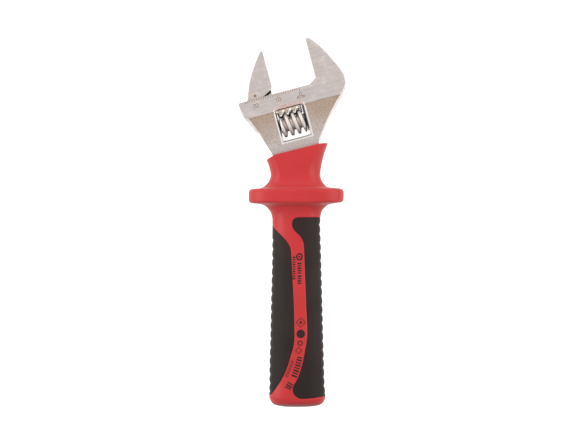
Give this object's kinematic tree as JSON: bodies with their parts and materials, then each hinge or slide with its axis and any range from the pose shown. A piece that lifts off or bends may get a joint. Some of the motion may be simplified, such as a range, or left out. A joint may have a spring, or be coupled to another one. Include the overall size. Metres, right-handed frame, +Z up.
{
  "type": "insulated adjustable wrench",
  "caption": "Adjustable wrench with a forged angled head, a sliding jaw driven by a worm, an etched opening scale and a two-colour insulated handle with a guard flange.",
  "frame": {"origin": "under the middle of the wrench's box, on the surface that it lies on", "axes": "+Y along the handle towards the jaws, +X to the fixed jaw's side, +Z up out of the face with the scale"},
  "size_m": [0.0464, 0.1594, 0.025],
  "materials": {
    "ground_steel": "ground and blasted nickel-plated forged steel",
    "worm_steel": "bright machined steel with knurled crests",
    "pin_steel": "plain bright steel",
    "red_plastic": "semi-matte moulded red insulation",
    "black_grip": "soft matte black moulded grip"
  },
  "bodies": {
    "handle": {"fixed_jaw_body": "ground_steel", "worm_pin": "pin_steel", "worm_spring": "pin_steel", "insulating_sleeve": "red_plastic", "grip_left": "black_grip", "grip_right": "black_grip"},
    "sliding_jaw": {"movable_jaw": "ground_steel"},
    "worm": {"adjusting_worm": "worm_steel"}
  },
  "joints": [
    {"name": "jaw_slide", "type": "slide", "parent": "handle", "child": "sliding_jaw", "axis": [0.9659, 0.2588, 0], "range_m": [-0.00465, 0.01933]},
    {"name": "worm_spin", "type": "hinge", "parent": "handle", "child": "worm", "pos_m": [0.00004, 0.04285, 0.0125], "axis": [0.9659, 0.2588, 0], "range_deg": [-2268, 546]}
  ],
  "couplings": [
    {"joint": "worm_spin", "follows": "jaw_slide", "rad_per_m": -2046.6}
  ]
}
